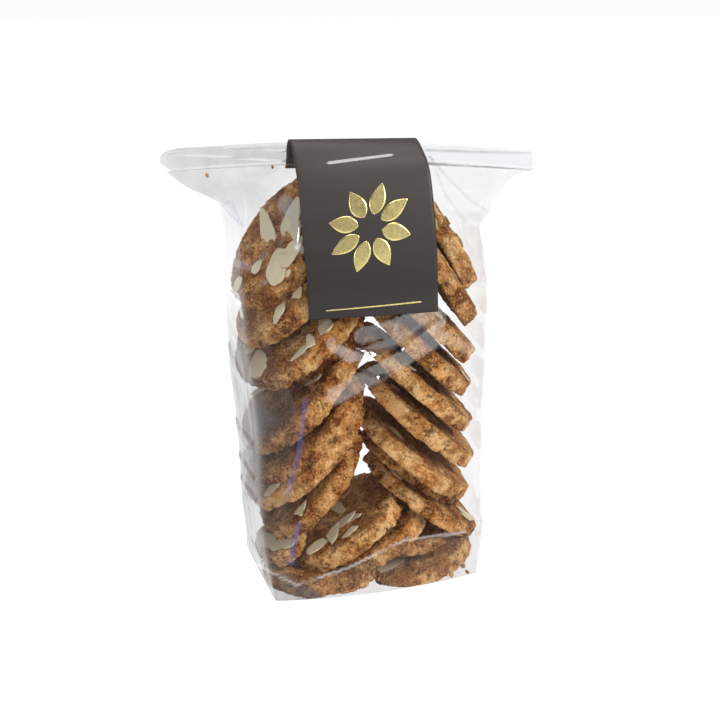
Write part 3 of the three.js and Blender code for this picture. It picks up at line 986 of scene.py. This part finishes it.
def biscuit_outline(place, radius, angle, seed):
    """A biscuit's radius at each angle: a circle with ten low random waves, cut by its breaks' lines,
    distance / cos(angle - facing), which are a little ragged and meet the circle in a rounded
    corner."""
    rng = np.random.default_rng(seed)
    outline = np.full(angle.shape, float(radius))
    for k in range(2, 12):
        wave = radius * 0.011 / math.sqrt(k - 1) * rng.normal()
        outline += wave * np.cos(k * angle + TURN * rng.random())
    outline = np.minimum(outline, radius * 1.012)
    for facing, distance in place.breaks:
        towards = np.cos(angle - math.radians(facing))
        cut = np.where(towards > 0.05, distance / np.maximum(towards, 0.05), 9 * radius)
        ragged = 1 + 0.03 * np.sin(9 * angle + seed) + 0.02 * np.sin(23 * angle)
        outline = -np.logaddexp(-outline, -cut * ragged)
    return outline


def biscuit_profile(radius, thickness):
    """A biscuit's half section from the middle of its top, over the rim, to the middle of its bottom:
    places (r, h), closer together towards the rim, and the outward normals there. The corners are
    quarter circles, the top one the rounder, and the rim slopes in towards the top."""
    top, low, half = TOP_CORNER * thickness, LOW_CORNER * thickness, thickness / 2
    a = np.linspace(0, math.pi / 2, 12)
    height = np.concatenate([half - top * (1 - np.cos(a)), -half + low * (1 - np.sin(a))])
    inset = np.concatenate([top * (1 - np.sin(a)), low * (1 - np.cos(a))]) + RIM_SLOPE * (height + half)
    face = np.linspace(0, 1, 22)[:-1]
    rim = radius - inset[0]
    steps = np.concatenate([face * rim, radius - inset, (face * (radius - inset[-1]))[::-1]])
    heights = np.concatenate([np.full(len(face), half), height, np.full(len(face), -half)])
    length = np.concatenate([[0], np.cumsum(np.hypot(np.diff(steps), np.diff(heights)))])
    parts = np.array([0, 0.5, 0.9]) * rim
    parts = np.concatenate([parts, length[-1] - parts[::-1]])
    weight = np.interp(length, parts, [0, 0.4, 1.0, 1.7, 2.3, 2.7])
    even = np.interp(np.linspace(0, weight[-1], BISCUIT_ROWS), weight, length)
    r, h = np.interp(even, length, steps), np.interp(even, length, heights)
    dr, dh = np.gradient(r), np.gradient(h)
    flat = np.hypot(dr, dh)
    normal_r, normal_h = -dh / flat, dr / flat
    normal_r[[0, -1]] = 0
    normal_h[[0, -1]] = 1, -1
    r[[0, -1]] = 0.02
    return r, h, normal_r, normal_h


def biscuit_points(place, sizes, seed):
    """A biscuit: a rounded slab on a grid of (over the edge, round the rim), moved along the slab's
    normal by lumps of several sizes, pits and cracks. Returns the grid, in the pack's frame, with how
    craggy each point is and which side it is on."""
    radius, thickness = place.radius * sizes.biscuit_scale, place.thickness
    angle = TURN * np.arange(BISCUIT_COLUMNS) / BISCUIT_COLUMNS
    ratio = biscuit_outline(place, radius, angle, seed) / radius
    r, h, normal_r, normal_h = (values[:, None] for values in biscuit_profile(radius, thickness))
    out = r * mix(1, ratio, smooth(0, radius, r))
    dome = DOME * thickness * (1 - (r / radius) ** 2)
    local = stacked(out * np.cos(angle), out * np.sin(angle) * place.share, h + dome * np.sign(h))
    normal = stacked(normal_r * np.cos(angle), normal_r * np.sin(angle), normal_h)
    far_apart = 37.0
    spot = local + seed * far_apart
    rim = smooth(0.15, 0.9, np.abs(normal_r))
    broad = soft_noise(spot, SWELL, seed) * 0.5 + soft_noise(spot, RIPPLE, seed + 5) * (0.3 + 0.3 * rim)
    crag = 0.4 * lumps(spot, KNOB, seed + 10) + 0.6 * lumps(spot, BIT, seed + 20)
    pits = smooth(0.15, 0.7, soft_noise(spot, PIT, seed + 30))
    crack = 1 - smooth(0, 0.14, np.abs(soft_noise(spot, CRACK, seed + 40)))
    crack = crack * smooth(-0.1, 0.3, soft_noise(spot, CRACKED_PATCH, seed + 50))
    relief = (1.1 + 0.9 * rim) * (crag - 0.58) - (0.4 + 0.4 * rim) * pits - 0.6 * crack
    relief = (broad + relief * sizes.crumb_relief) * mix(0.35, 1, smooth(0, 6, r))
    local = local + normal * relief[..., None]
    local[0] = local[0].mean(0)
    local[-1] = local[-1].mean(0)
    world = in_pack(place, local)
    world = held_inside(world.reshape(-1, 3), BISCUIT_CLEARANCE).reshape(world.shape)
    upright = np.abs(normal_h)
    on_face, on_rim = normal_h * smooth(0.2, 0.9, upright), np.clip(h / thickness, -0.5, 0.5) * 0.8
    side = np.where(upright < 0.5, on_rim, on_face)
    crag = np.clip((crag - 0.25) * 1.9 - 0.4 * pits - 0.5 * crack, 0, 1)
    return world, crag, np.broadcast_to(side, crag.shape)


def joined(values):
    """A grid's points or values in one row, its first and last rows as one each."""
    body = values[1:-1]
    return np.concatenate([body.reshape(-1, *values.shape[2:]), values[0, :1], values[-1, :1]])


def gathered(grids):
    """Closed grids as one mesh of triangles: each grid's first and last rows meet in one point."""
    points, faces, first = [], [], 0
    for grid in grids:
        rows, columns = grid.shape[:2]
        quads = grid_quads(rows - 2, columns)[:, ::-1]
        k = np.arange(columns)
        after = (k + 1) % columns
        low, end = (rows - 3) * columns, (rows - 2) * columns
        faces.append(first + np.concatenate([
            quads[:, [0, 1, 2]],
            quads[:, [0, 2, 3]],
            np.stack([k, after, np.full(columns, end)], -1),
            np.stack([after + low, k + low, np.full(columns, end + 1)], -1),
        ]))
        points.append(joined(grid))
        first += end + 2
    return np.concatenate(points), np.concatenate(faces)


def build_biscuits(sizes, colours):
    """All the biscuits, each its own piece, baked by chance and more where it is listed as browned.
    Returns their finish."""
    finish = biscuit_finish(colours)
    for k, (name, place) in enumerate(BISCUITS.items()):
        world, crag, side = biscuit_points(place, sizes, 100 + 7 * k)
        by_chance = hashed(np.array([k, 3, 5]), 8)
        bake = np.full(crag.shape, BAKE_SPREAD * by_chance + BAKE_MORE * (name in BROWNED))
        values = {"crag": joined(crag), "side": joined(side), "bake": joined(bake)}
        new_piece("biscuit_" + name, *gathered([world]), finish, "biscuit", values)
    return finish


def line_of_sight(across, down):
    """The unit direction from the camera through a place in the photograph's frame."""
    right, below, forward = camera_axes()
    middle = PHOTO_SIDE / 2
    way = forward + right * (across - middle) / FOCAL_PIXELS + below * (down - middle) / FOCAL_PIXELS
    return way / np.linalg.norm(way)


def flake_grid(length, width, bend, seed):
    """One almond flake on a grid of (over its edge, round it): an outline blunt at one end and pointed
    at the other, its half width sin(angle) times a root that closes at the point, snapped straight on
    up to two sides, with flat faces and a thin edge, bent a little along its length."""
    rng = np.random.default_rng(seed)
    angle = TURN * np.arange(FLAKE_COLUMNS) / FLAKE_COLUMNS
    u = 0.5 * length * np.cos(angle)
    v = 0.5 * width * np.sin(angle) * (0.5 * (1.25 - np.cos(angle))) ** 0.45 * 1.12
    for facing in rng.uniform(0, TURN, rng.integers(0, 3)):
        towards = u * math.cos(facing) + v * math.sin(facing)
        over = np.maximum(towards - towards.max() * rng.uniform(0.35, 0.8), 0)
        u, v = u - over * math.cos(facing), v - over * math.sin(facing)
    uneven = 1 + 0.035 * np.sin(3 * angle + seed) + 0.025 * np.sin(7 * angle + 2 * seed)
    share = np.array([0.0, 0.45, 0.8, 0.94, 1.0, 1.0, 0.94, 0.8, 0.45, 0.0])[:, None]
    level = np.array([0.5, 0.5, 0.48, 0.42, 0.2, -0.2, -0.42, -0.48, -0.5, -0.5])[:, None]
    grid = stacked(share * (u * uneven), share * (v * uneven), level * FLAKE_THICKNESS)
    grid[..., 2] += bend * ((grid[..., 0] / (0.5 * length)) ** 2 - 0.4) + 0.12 * soft_noise(grid, 5, seed)
    return grid, np.broadcast_to(share * (np.abs(level) < 0.45), grid.shape[:2])


def kept_on(place, u, v, length):
    """A flake's middle, moved inwards until the flake lies on the biscuit's face: inside its breaks and
    its rim by 0.45 of the flake's length."""
    margin = 0.45 * length
    for facing, distance in place.breaks:
        a = math.radians(facing)
        over = max(0, u * math.cos(a) + v * math.sin(a) - distance + margin)
        u, v = u - over * math.cos(a), v - over * math.sin(a)
    most_u, most_v = place.radius - margin, place.radius * place.share - margin
    reach = max(1, math.hypot(u / max(most_u, 1), v / max(most_v, 1)))
    return u / reach, v / reach


def build_almonds(colours):
    """Almond flakes: those that show, laid where they are seen, and a few more on every biscuit's
    top."""
    rng = np.random.default_rng(4)
    grids, edges = [], []

    def lay(place, u, v, length, width, turn, lift):
        u, v = kept_on(place, u, v, length)
        bend = rng.uniform(-FLAKE_BEND, FLAKE_BEND)
        grid, edge = flake_grid(length, width, bend, int(rng.integers(1000)))
        tilt = turned(*(rng.uniform(-FLAKE_TILT, FLAKE_TILT) for _ in range(2)))
        grid = grid @ tilt.T @ turned_about_z(turn).T + np.array([u, v, place.thickness / 2 + lift])
        world = in_pack(place, grid)
        grids.append(held_inside(world.reshape(-1, 3), FLAKE_CLEARANCE).reshape(world.shape))
        edges.append(joined(edge))

    start = np.array(CAMERA_AT)
    for name, flakes in FLAKES.items():
        place = BISCUITS[name]
        normal = turned(place.lean, place.tip)[:, 2]
        middle = np.array([place.x, place.y, place.z]) + normal * (place.thickness / 2 + 0.4)
        for across, down, length, width, turn in flakes:
            way = line_of_sight(across, down)
            u, v, _ = seen_from(place, start + way * ((middle - start) @ normal) / (way @ normal))
            lay(place, u, v, length, width, turn, FLAKE_LIFT)
    for place in BISCUITS.values():
        for _ in range(FLAKES_MORE):
            a, r = rng.uniform(0, TURN), place.radius * math.sqrt(rng.uniform(0.15, 0.75))
            u, v, length = r * math.cos(a), r * math.sin(a) * place.share, rng.uniform(9, 17)
            width = length * rng.uniform(0.5, 0.62)
            lay(place, u, v, length, width, rng.uniform(0, 360), FLAKE_LIFT_MORE)
    values = {"edge": np.concatenate(edges)}
    new_piece("almond_flakes", *gathered(grids), almond_finish(colours), "almond", values)


def build_crumbs(finish):
    """Crumbs: small lumpy grains on the base, half of them towards its front, and two caught in the
    header."""
    rng = np.random.default_rng(9)
    rows, columns = 7, 9
    up = (math.pi * np.arange(rows) / (rows - 1))[:, None]
    around = TURN * np.arange(columns) / columns
    ball = stacked(np.sin(up) * np.cos(around), np.sin(up) * np.sin(around), np.cos(up))
    size = rng.uniform(0.3, 1.3, CRUMBS) ** 1.5
    half_width, half_way_back, front = 50, 33, (22, 36)
    x = rng.uniform(-half_width, half_width, CRUMBS)
    y = rng.uniform(-half_way_back, half_way_back, CRUMBS)
    y[: CRUMBS // 2] = -rng.uniform(*front, CRUMBS // 2)
    z = size * 0.8 + 0.2
    middles = held_inside(np.stack([x, y, z], 1), CRUMB_CLEARANCE)
    middles[:, 2] = np.maximum(middles[:, 2], z)
    for k, (x, z, grain) in enumerate(CAUGHT_CRUMBS):
        middles[k], size[k] = on_front(x, z) + np.array([0, 0.9, 0]), grain
    lumpy = 1 + 0.35 * rng.normal(size=(CRUMBS, rows, columns, 1)).clip(-1, 1)
    shape = ball[None] * lumpy * np.array([1, 0.8, 0.65])
    shape[:, 0] = shape[:, 0].mean(1, keepdims=True)
    shape[:, -1] = shape[:, -1].mean(1, keepdims=True)
    grains = np.einsum("nij,nrcj->nrci", tumbled(rng, CRUMBS), shape * size[:, None, None, None])
    grains += middles[:, None, None, :]
    least_height = 0.08
    grains[..., 2] = np.maximum(grains[..., 2], least_height)
    points, faces = gathered(grains)
    values = {key: np.full(len(points), value) for key, value in (("crag", 0.95), ("side", 0), ("bake", 0))}
    new_piece("loose_crumbs", points, faces, finish, "biscuit", values)


def bent_edge(table, along):
    """Points (y, z) on the smooth curve through a card edge's places: centripetal Catmull-Rom, whose
    knots are the square roots of the distances, with one more place mirrored past each end."""
    p = np.array(table, float)
    p = np.concatenate([[2 * p[0] - p[1]], p, [2 * p[-1] - p[-2]]])
    spans = len(table) - 1
    at = np.clip(along, 0, 1) * spans
    k = np.minimum(at.astype(int), spans - 1)
    t = (at - k)[..., None]
    p0, p1, p2, p3 = p[k], p[k + 1], p[k + 2], p[k + 3]
    pairs = ((p0, p1), (p1, p2), (p2, p3))
    d0, d1, d2 = (np.sqrt(np.linalg.norm(b - a, axis=-1, keepdims=True)) for a, b in pairs)
    m1 = ((p1 - p0) / d0 - (p2 - p0) / (d0 + d1) + (p2 - p1) / d1) * d1
    m2 = ((p2 - p1) / d1 - (p3 - p1) / (d1 + d2) + (p3 - p2) / d2) * d1
    return p1 + m1 * t + (3 * (p2 - p1) - 2 * m1 - m2) * t**2 + (2 * (p1 - p2) + m1 + m2) * t**3


def card_face(across, along, lift):
    """Places on the card, `lift` out from its inner face: its two edges mixed across, bowed a little in
    the middle of the front flap as 4t(1 - t)."""

    def inner(run):
        left, right = bent_edge(LABEL_LEFT_EDGE, run), bent_edge(LABEL_RIGHT_EDGE, run)
        yz = mix(left, right, across[..., None])
        yz[..., 0] -= LABEL_BOW * 4 * across * (1 - across) * smooth(0.4, 0.75, run)
        return yz

    step = 0.004
    way = inner(np.minimum(1, along + step)) - inner(np.maximum(0, along - step))
    way /= np.linalg.norm(way, axis=-1, keepdims=True)
    out = np.stack([way[..., 1], -way[..., 0]], -1)
    yz = inner(along) + out * np.asarray(lift)[..., None]
    return stacked(mix(LABEL_LEFT_X, LABEL_RIGHT_X, across), yz[..., 0], yz[..., 1])


def build_card(colours):
    """The card label: a closed strip of card between its two bent edges."""
    along, across = np.meshgrid(np.linspace(0, 1, 150), np.linspace(0, 1, 40), indexing="ij")
    low = card_face(across, along, np.zeros_like(along))
    high = card_face(across, along, np.full_like(along, LABEL_THICKNESS))
    rings = np.concatenate([low, high[:, ::-1]], 1)
    card = new_piece("card_label", rings, closed_stack(rings), card_finish(colours), "label_card")
    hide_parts("label")


def card_place(x, run, lift):
    """A place on the card's outer face, from x and the length up the card from its lower front edge."""
    along = np.linspace(0, 1, 600)
    middle = card_face(np.full_like(along, 0.5), along, np.zeros_like(along))
    length = np.concatenate([[0], np.cumsum(np.linalg.norm(np.diff(middle, axis=0), axis=1))])
    at = np.interp(length[-1] - run, length, along)
    across = (x - LABEL_LEFT_X) / (LABEL_RIGHT_X - LABEL_LEFT_X)
    return card_face(across, at, np.broadcast_to(LABEL_THICKNESS + lift, np.shape(at)))


def stamped(middle, length, half_widths, turn, thickness):
    """A thin raised shape on the card: a line of that length about its middle (x, run), turned by
    `turn` degrees, as wide as half_widths says at each of its steps. Returns the rings across it."""
    v = np.linspace(-1, 1, 9)
    a = math.radians(turn)
    lift = np.concatenate([np.full(len(v), thickness), np.full(len(v), 0.01)])
    du = np.linspace(-length / 2, length / 2, len(half_widths))[:, None]
    dv = half_widths[:, None] * np.concatenate([v, v[::-1]])[None, :]
    x = middle[0] + du * math.cos(a) - dv * math.sin(a)
    run = middle[1] + du * math.sin(a) + dv * math.cos(a)
    return card_place(x, run, np.broadcast_to(lift, x.shape))


def build_foil(sizes, colours):
    """The card's stamping: a rosette of gold almond shapes, whose half width is a sine drawn towards
    one end, with a pale bar above it and a thin gold rule below."""
    t = np.linspace(0, 1, STAMP_STEPS)
    almond = PETAL_HALF_WIDTH * np.sin(math.pi * t**0.8) ** 0.9 + 0.05
    rings = []
    for k in range(PETALS):
        turn = 360 / PETALS * (k + 0.5)
        a = math.radians(turn)
        x, run = ROSETTE_MIDDLE
        at = (x + ROSETTE_REACH * math.cos(a), run + ROSETTE_REACH * math.sin(a))
        rings.append(stamped(at, PETAL_LENGTH, almond, turn, sizes.foil_height))
    rule = np.full(STAMP_STEPS, RULE_HALF_WIDTH)
    rings.append(stamped(RULE_MIDDLE, RULE_LENGTH, rule, 0, sizes.foil_height))
    faces = closed_stack(rings[0])[:, ::-1]
    count = rings[0].size // 3
    faces = np.concatenate([faces + k * count for k in range(len(rings))])
    new_piece("foil_rosette", np.concatenate(rings), faces, foil_finish(colours), "gold_foil")
    rounded = BAR_HALF_WIDTH * (1 - np.abs(2 * t - 1) ** 24) ** 0.5 + 0.02
    bar = stamped(BAR_MIDDLE, BAR_LENGTH, rounded, 0, sizes.foil_height * 0.5)
    new_piece("pale_bar", bar, closed_stack(bar)[:, ::-1], ink_finish(colours), "label_card")


def build_stage():
    """The floor, the lights, the backdrop's light and the camera."""
    side, level = FLOOR_HALF_WIDTH, FLOOR_LEVEL
    corners = [(-side, -side, level), (side, -side, level), (side, side, level), (-side, side, level)]
    mesh = bpy.data.meshes.new("studio_floor")
    mesh.from_pydata(corners, [], [(0, 1, 2, 3)])
    mesh.materials.append(floor_finish())
    put_in("studio_floor", mesh)

    world = bpy.data.worlds.new("studio_light")
    world.use_nodes = True
    nodes, links = world.node_tree.nodes, world.node_tree.links
    place, split = nodes.new("ShaderNodeTexCoord"), nodes.new("ShaderNodeSeparateXYZ")
    height, sky = nodes.new("ShaderNodeMapRange"), nodes.new("ShaderNodeMix")
    sky.data_type = "RGBA"
    height.inputs["From Min"].default_value, height.inputs["From Max"].default_value = 0.05, 0.4
    sky.inputs[6].default_value, sky.inputs[7].default_value = SKY_FOOT, SKY_TOP
    links.new(place.outputs["Generated"], split.inputs[0])
    links.new(split.outputs["Z"], height.inputs["Value"])
    links.new(height.outputs[0], sky.inputs[0])
    links.new(sky.outputs[2], nodes["Background"].inputs["Color"])
    bpy.context.scene.world = world

    for name, (at, size, power) in LAMPS.items():
        lamp = bpy.data.lights.new(name, "AREA")
        lamp.shape = "RECTANGLE"
        lamp.size, lamp.size_y = size
        lamp.energy = power
        holder = put_in(name, lamp)
        x, y, z = np.array(LAMPS_AIM) - np.array(at)
        holder.location = at
        holder.rotation_euler = (math.atan2(math.hypot(x, y), -z), 0, math.atan2(x, -y) + math.pi)

    camera = bpy.data.cameras.new("camera")
    camera.sensor_width = SENSOR_WIDTH
    camera.lens = FOCAL_PIXELS / PHOTO_SIDE * SENSOR_WIDTH
    camera.clip_start, camera.clip_end = 0.01, 100
    holder = put_in("camera", camera)
    holder.location = [c * MM for c in CAMERA_AT]
    holder.rotation_euler = (math.radians(90 - CAMERA_DIP), 0, math.radians(-CAMERA_TURN))
    bpy.context.scene.camera = holder
    bpy.context.scene.view_settings.view_transform = "Standard"


# The add-on


def share_property(name, description, least, most):
    return bpy.props.FloatProperty(name=name, description=description, default=1.0, min=least, max=most)


def colour_property(name, description, default):
    limits = {"size": 3, "min": 0, "max": 1, "subtype": "COLOR"}
    return bpy.props.FloatVectorProperty(name=name, description=description, default=default, **limits)


class PackSizes(bpy.types.PropertyGroup):
    biscuit_scale: share_property("Biscuit size", "Size of every biscuit, as a share of its own", 0.8, 1.02)
    crumb_relief: share_property("Crumb relief", "How craggy the biscuits are", 0, 2)
    crease_depth: share_property("Crease depth", "How deep the film is creased", 0, 2)
    film_haze: share_property("Film haze", "How milky the film is", 0, 3)
    foil_height: bpy.props.FloatProperty(
        name="Foil height",
        description="How far the stamping stands out of the card, in millimetres",
        default=0.09,
        min=0.02,
        max=0.3,
    )


class PackColours(bpy.types.PropertyGroup):
    crumb_light: colour_property("Light crumb", "The palest baked crumb", (0.9, 0.555, 0.24))
    crumb_tan: colour_property("Tan crumb", "Most of the crumb", (0.56, 0.265, 0.078))
    crumb_dark: colour_property("Dark crumb", "Browned crumb", (0.2, 0.062, 0.013))
    # Near black for scorched patches, and painted shade in the cracks and pits.
    crust_burnt_and_crevice_shade: colour_property("Burnt crust", "The darkest cracks and edges", (0.045, 0.016, 0.006))
    crumb_speck: colour_property("Sugar speck", "Pale specks in the crumb", (0.9, 0.68, 0.36))
    almond: colour_property("Almond", "Cut almond", (0.74, 0.64, 0.42))
    almond_skin: colour_property("Almond skin", "The skin round a flake", (0.32, 0.15, 0.06))
    film: colour_property("Film veil", "The milky part of the film", (0.145, 0.14, 0.134))
    # Painted reflection: the blue of the film's painted bluish streaks.
    film_blue_reflection: colour_property("Film, cool", "The bluish streaks in the film", (0.09, 0.09, 0.3))
    card: colour_property("Card", "The label's card", (0.027, 0.0225, 0.0207))
    foil: colour_property("Foil", "The label's stamped foil", (0.86, 0.72, 0.3))
    ink: colour_property("Ink", "The label's pale bar", (0.45, 0.44, 0.43))


def settings(context):
    return context.scene.pack_sizes, context.scene.pack_colours


class PACK_OT_film(bpy.types.Operator):
    """Makes the clear film bag and its folded fin"""

    bl_idname = "pack.film"
    bl_label = "Film bag and fin"

    def execute(self, context):
        sizes, colours = settings(context)
        build_fin(build_film(sizes, colours))
        return {"FINISHED"}


class PACK_OT_biscuits(bpy.types.Operator):
    """Makes the two stacks of biscuits and their crumbs"""

    bl_idname = "pack.biscuits"
    bl_label = "Biscuits and crumbs"

    def execute(self, context):
        sizes, colours = settings(context)
        build_crumbs(build_biscuits(sizes, colours))
        return {"FINISHED"}


class PACK_OT_almonds(bpy.types.Operator):
    """Makes the almond flakes on the biscuits"""

    bl_idname = "pack.almonds"
    bl_label = "Almond flakes"

    def execute(self, context):
        build_almonds(context.scene.pack_colours)
        return {"FINISHED"}


class PACK_OT_label(bpy.types.Operator):
    """Makes the card label and its stamping"""

    bl_idname = "pack.label"
    bl_label = "Card label"

    def execute(self, context):
        sizes, colours = settings(context)
        build_card(colours)
        build_foil(sizes, colours)
        return {"FINISHED"}


class PACK_OT_stage(bpy.types.Operator):
    """Makes the floor, the lights and the camera"""

    bl_idname = "pack.stage"
    bl_label = "Stage"

    def execute(self, context):
        build_stage()
        return {"FINISHED"}


OPERATORS = (PACK_OT_stage, PACK_OT_biscuits, PACK_OT_almonds, PACK_OT_label, PACK_OT_film)


class PACK_PT_panel(bpy.types.Panel):
    """Lists the pack's sizes, colours and pieces"""

    bl_idname = "PACK_PT_panel"
    bl_label = "Biscuit pack"
    bl_space_type = "VIEW_3D"
    bl_region_type = "UI"
    bl_category = "Biscuit pack"

    def draw(self, context):
        for group in settings(context):
            for name in type(group).__annotations__:
                self.layout.prop(group, name)
        for operator in OPERATORS:
            self.layout.operator(operator.bl_idname)


CLASSES = (PackSizes, PackColours, *OPERATORS, PACK_PT_panel)


def register():
    for cls in CLASSES:
        bpy.utils.register_class(cls)
    bpy.types.Scene.pack_sizes = bpy.props.PointerProperty(type=PackSizes)
    bpy.types.Scene.pack_colours = bpy.props.PointerProperty(type=PackColours)


def unregister():
    del bpy.types.Scene.pack_colours
    del bpy.types.Scene.pack_sizes
    for cls in reversed(CLASSES):
        bpy.utils.unregister_class(cls)


def main():
    """Makes the whole pack."""
    register()
    for operator in OPERATORS:
        getattr(bpy.ops.pack, operator.bl_idname.split(".")[1])()
    bpy.context.view_layer.update()


if __name__ == "__main__":
    main()
